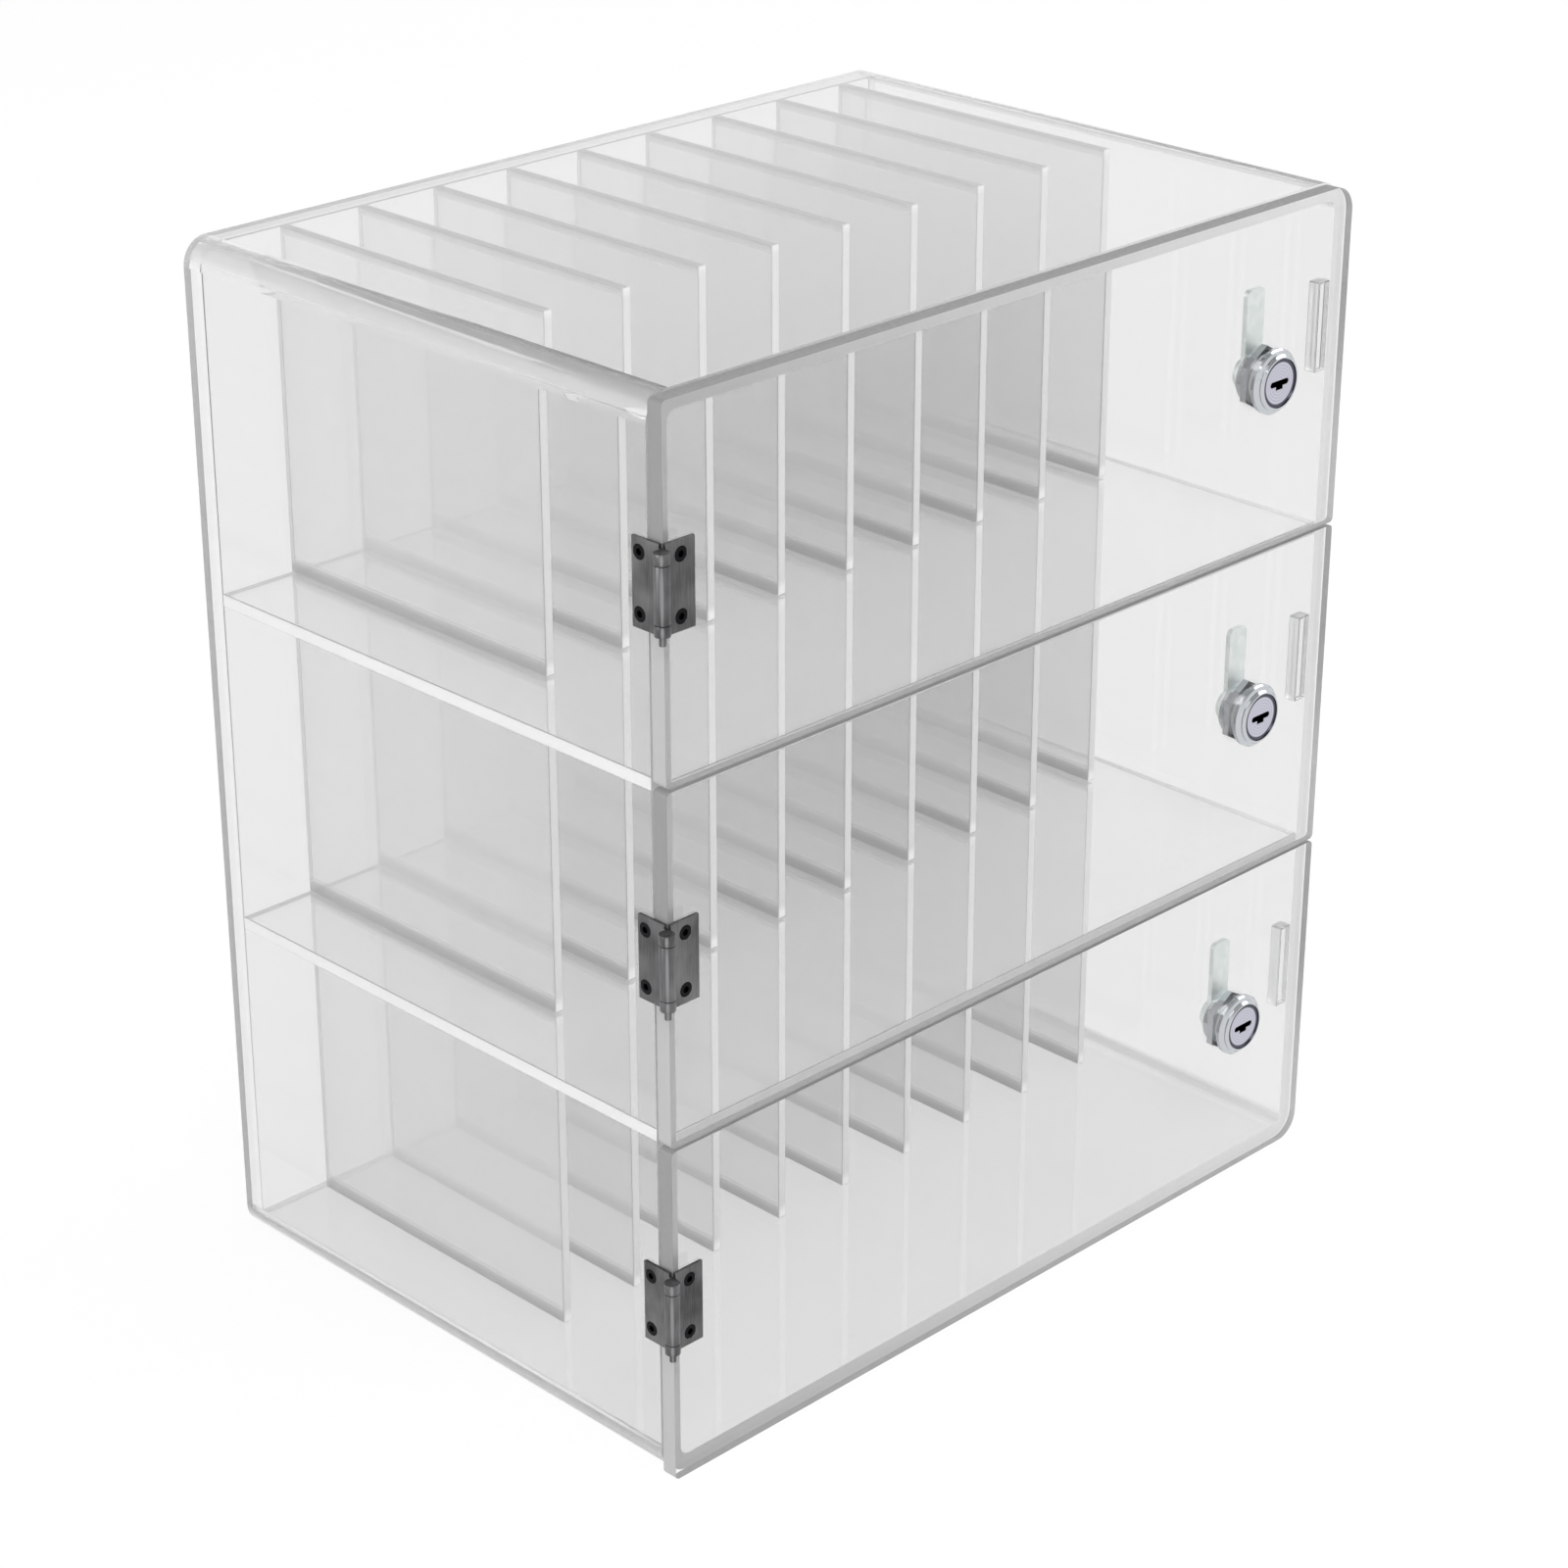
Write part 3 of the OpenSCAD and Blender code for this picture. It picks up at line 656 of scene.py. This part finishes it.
def whiteSky(tree):
    # white at the horizon and grey overhead where it is seen, and one soft light for all the rest
    direction = addNode(tree, "ShaderNodeTexCoord")
    height = addNode(tree, "ShaderNodeSeparateXYZ", None, {0: direction.outputs["Generated"]})
    rise = addNode(tree, "ShaderNodeMapRange", {1: studio["zenithFrom"], 2: 1.0}, {0: height.outputs["Z"]})
    sky = addNode(tree, "ShaderNodeMix", {
        "data_type": "RGBA", 6: linear(studio["horizon"]), 7: linear(studio["zenith"])},
        {0: rise.outputs[0]})
    ambient = addNode(tree, "ShaderNodeBackground", {"Color": linear(studio["ambient"]), "Strength": 1.0})
    shown = addNode(tree, "ShaderNodeBackground", {"Strength": 1.0}, {"Color": sky.outputs[2]})
    pick = addNode(tree, "ShaderNodeMixShader", None, {
        0: seenRays(tree), 1: ambient.outputs[0], 2: shown.outputs[0]})
    addNode(tree, "ShaderNodeOutputWorld", None, {"Surface": pick.outputs[0]})


print("table, world and lamps")
tableMesh = bpy.data.meshes.new("table")
bm = bmesh.new()
bmesh.ops.create_grid(bm, x_segments=1, y_segments=1, size=studio["tableSize"] / 2,
                      matrix=Matrix.Translation((0, 0, -studio["tableDrop"])))
bm.to_mesh(tableMesh)
bm.free()
table = bpy.data.objects.new("table", tableMesh)
scene.collection.objects.link(table)
dress(table, whiteTable())

world = bpy.data.worlds.new("studio")
world.use_nodes = True
world.node_tree.nodes.clear()
whiteSky(world.node_tree)
scene.world = world

lampsAim = Vector((0, 0, 0.15))
lamps = {
    "key": {"at": (-2.2, -3.2, 4.2), "size": 2.4, "watts": 112},
    "fill": {"at": (3.6, -1.6, 3.2), "size": 2.8, "watts": 70},
    "side": {"at": (-3.8, 0.8, 1.0), "size": 2.4, "watts": 68},
}
for name, lamp in lamps.items():
    data = bpy.data.lights.new(name, "AREA")
    data.size = lamp["size"]
    data.energy = lamp["watts"]
    item = bpy.data.objects.new(name, data)
    item.location = lamp["at"]
    item.rotation_euler = (lampsAim - Vector(lamp["at"])).to_track_quat("-Z", "Y").to_euler()
    scene.collection.objects.link(item)

# Camera
view = {
    "at": (-0.751, -0.757, 0.627),
    "azimuth": -44.9,
    "elevation": 24.6,
    "lens": 87.6,
    "sensor": 36,
}
print("camera")
cameraData = bpy.data.cameras.new("camera")
cameraData.lens = view["lens"]
cameraData.sensor_width = view["sensor"]
camera = bpy.data.objects.new("camera", cameraData)
turn, tilt = math.radians(view["azimuth"]), math.radians(view["elevation"])
back = Vector((math.sin(turn) * math.cos(tilt), -math.cos(turn) * math.cos(tilt), math.sin(tilt)))
camera.location = view["at"]
camera.rotation_euler = (-back).to_track_quat("-Z", "Y").to_euler()
scene.collection.objects.link(camera)
scene.camera = camera
